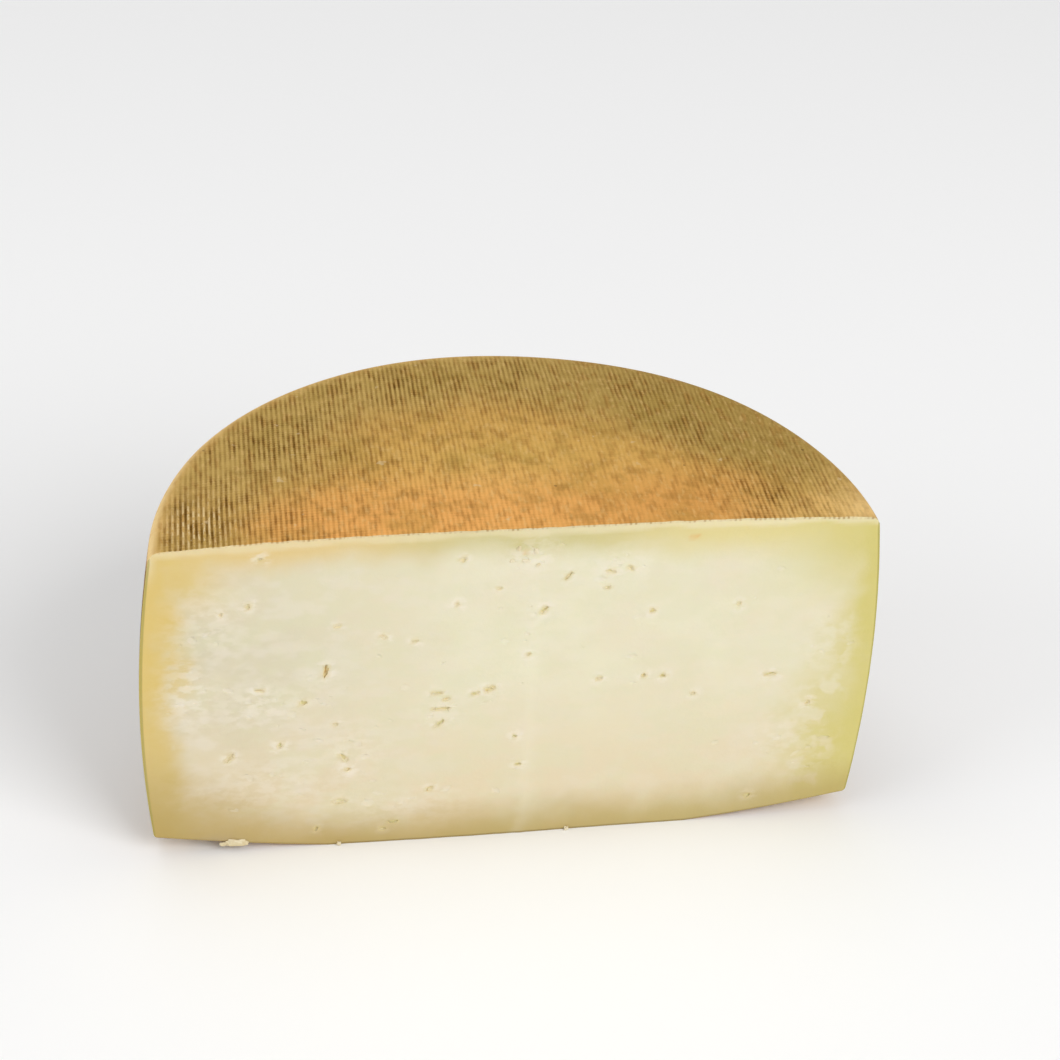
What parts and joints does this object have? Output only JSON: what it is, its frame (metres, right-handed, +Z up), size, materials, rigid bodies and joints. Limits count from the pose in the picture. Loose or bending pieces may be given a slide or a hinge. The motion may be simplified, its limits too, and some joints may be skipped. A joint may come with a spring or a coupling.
{
  "type": "aged sheep cheese",
  "caption": "Half of a pressed, aged sheep's milk cheese wheel, cut upright through its axis, with ivory paste and a cloth-marked ochre rind.",
  "frame": {"origin": "on the resting plane, under the middle of the bounding box of the half wheel", "axes": "+Z is up along the wheel's axis, +X runs along the cut face, and +Y points from the cut face to the back of the round side; the cut face looks towards -Y"},
  "size_m": [0.2612, 0.131, 0.1355],
  "materials": {
    "paste": "matt, slightly moist cut cheese",
    "rind": "dry matt rind with the weave of the pressing cloth"
  },
  "bodies": {
    "root": {"cheese": "paste"}
  },
  "joints": []
}
